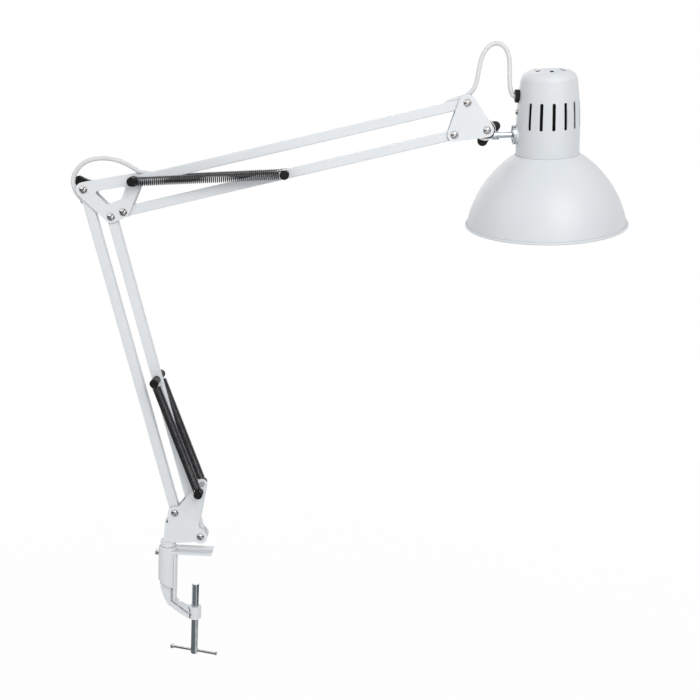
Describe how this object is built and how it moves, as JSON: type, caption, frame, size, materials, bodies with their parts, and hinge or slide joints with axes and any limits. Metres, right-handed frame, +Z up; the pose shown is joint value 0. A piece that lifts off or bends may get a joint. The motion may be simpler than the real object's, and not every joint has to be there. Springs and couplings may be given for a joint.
{
  "type": "clamp desk lamp",
  "caption": "Spring balanced desk lamp with two parallelogram arms, a tilting metal shade and a screw clamp for a table edge.",
  "frame": {"origin": "underside of the upper jaw of the clamp, on the axis of the clamp screw, in the middle plane of the arms", "axes": "+Z up, +X from the clamp frame towards the shade in the middle plane of the arms, +Y away from the viewer of the picture, along the pivots"},
  "size_m": [0.5772, 0.1672, 0.6799],
  "materials": {
    "white_paint": "satin",
    "black_plastic": "matte",
    "bright_screws": "polished",
    "zinc_steel": "satin",
    "spring_steel": "satin",
    "white_lead": "matte",
    "black_holder": "gloss",
    "brass_contact": "satin"
  },
  "bodies": {
    "clamp": {"clamp_frame": "white_paint"},
    "collar_screw": {"collar_screw": "bright_screws"},
    "clamp_screw": {"clamp_screw": "zinc_steel"},
    "tommy_bar": {"tommy_bar": "bright_screws"},
    "base": {"base_bracket": "white_paint", "swivel_post": "zinc_steel", "base_pivot_screws": "bright_screws", "base_pivot_nuts": "zinc_steel", "base_sleeves": "zinc_steel", "base_spring_pegs": "black_plastic", "base_peg_screws": "bright_screws", "lower_spring_front": "spring_steel", "lower_spring_rear": "spring_steel"},
    "lower_left": {"lower_left_tube": "white_paint", "lead_lower": "white_lead", "lead_elbow_left": "white_lead"},
    "lower_right": {"lower_right_tube": "white_paint", "lower_spring_pegs": "black_plastic"},
    "elbow": {"elbow_plate_front": "white_paint", "elbow_plate_rear": "white_paint", "elbow_pivot_screws": "bright_screws", "elbow_pivot_nuts": "zinc_steel", "elbow_sleeves": "zinc_steel", "elbow_spring_pegs": "black_plastic", "upper_spring_front": "spring_steel", "upper_spring_rear": "spring_steel", "lead_elbow_right": "white_lead"},
    "elbow_knob": {"elbow_knob": "black_plastic"},
    "upper_top": {"upper_top_tube": "white_paint", "lead_upper": "white_lead", "lead_head_bar": "white_lead"},
    "upper_bottom": {"upper_bottom_tube": "white_paint", "upper_spring_pegs": "black_plastic"},
    "head_bracket": {"head_plate_front": "white_paint", "head_plate_rear": "white_paint", "head_pivot_screws": "bright_screws", "head_pivot_nuts": "zinc_steel", "head_sleeves": "zinc_steel", "friction_bolt": "bright_screws", "lead_head_top": "white_lead"},
    "head_knob": {"head_knob": "black_plastic"},
    "tilt_arm": {"friction_disc": "black_plastic", "tilt_rod": "zinc_steel", "rod_nut": "zinc_steel"},
    "head": {"neck_housing": "white_paint", "shade_bowl": "white_paint", "cup_seat": "white_paint", "grommet": "black_plastic", "holder_bracket": "zinc_steel", "holder_screw": "bright_screws", "lamp_holder": "black_holder", "screw_shell": "bright_screws", "centre_contact": "brass_contact", "lead_inner": "white_lead", "lead_head_neck": "white_lead"}
  },
  "joints": [
    {"name": "base_swivel", "type": "hinge", "parent": "clamp", "child": "base", "pos_m": [-0.031, 0, 0], "axis": [0, 0, 1], "continuous": true},
    {"name": "lower_left_pivot", "type": "hinge", "parent": "base", "child": "lower_left", "pos_m": [-0.0235, 0, 0.047], "axis": [0, 1, 0], "range_deg": [-14, 45]},
    {"name": "lower_right_pivot", "type": "hinge", "parent": "base", "child": "lower_right", "pos_m": [0.0047, 0, 0.0207], "axis": [0, 1, 0], "range_deg": [-14, 45], "deforming": ["lower_spring_front", "lower_spring_rear"]},
    {"name": "elbow_level", "type": "hinge", "parent": "lower_left", "child": "elbow", "pos_m": [-0.12232, 0, 0.39161], "axis": [0, 1, 0], "range_deg": [-45, 14], "deforming": ["lead_elbow_left"]},
    {"name": "upper_top_pivot", "type": "hinge", "parent": "elbow", "child": "upper_top", "pos_m": [-0.07072, 0, 0.40291], "axis": [0, 1, 0], "range_deg": [-34, 50], "deforming": ["lead_elbow_right"]},
    {"name": "upper_bottom_pivot", "type": "hinge", "parent": "elbow", "child": "upper_bottom", "pos_m": [-0.08162, 0, 0.37081], "axis": [0, 1, 0], "range_deg": [-34, 50], "deforming": ["upper_spring_front", "upper_spring_rear"]},
    {"name": "head_level", "type": "hinge", "parent": "upper_top", "child": "head_bracket", "pos_m": [0.26317, 0, 0.49739], "axis": [0, 1, 0], "range_deg": [-50, 34], "deforming": ["lead_head_bar"]},
    {"name": "head_tilt", "type": "hinge", "parent": "head_bracket", "child": "tilt_arm", "pos_m": [0.28507, 0, 0.47149], "axis": [0, 1, 0], "range_deg": [-50, 30], "deforming": ["lead_head_top"]},
    {"name": "head_tip", "type": "hinge", "parent": "tilt_arm", "child": "head", "pos_m": [0.2856, 0, 0.466], "axis": [0.9957, 0, 0.0924], "range_deg": [-75, 75], "deforming": ["lead_head_neck"]},
    {"name": "elbow_knob_turn", "type": "hinge", "parent": "elbow", "child": "elbow_knob", "pos_m": [-0.12232, 0, 0.39161], "axis": [0, 1, 0], "continuous": true},
    {"name": "head_knob_turn", "type": "hinge", "parent": "head_bracket", "child": "head_knob", "pos_m": [0.28507, 0, 0.47149], "axis": [0, 1, 0], "continuous": true},
    {"name": "collar_screw_turn", "type": "hinge", "parent": "clamp", "child": "collar_screw", "pos_m": [-0.0415, 0, -0.0016], "axis": [1, 0, 0], "continuous": true},
    {"name": "clamp_screw_travel", "type": "slide", "parent": "clamp", "child": "clamp_screw", "axis": [0, 0, 1], "range_m": [-0.024, 0.035]},
    {"name": "tommy_bar_slide", "type": "slide", "parent": "clamp_screw", "child": "tommy_bar", "axis": [0.9659, -0.2588, 0], "range_m": [-0.02, 0.02]}
  ],
  "couplings": [
    {"joint": "lower_right_pivot", "follows": "lower_left_pivot", "ratio": 1},
    {"joint": "elbow_level", "follows": "lower_left_pivot", "ratio": -1},
    {"joint": "upper_bottom_pivot", "follows": "upper_top_pivot", "ratio": 1},
    {"joint": "head_level", "follows": "upper_top_pivot", "ratio": -1}
  ]
}
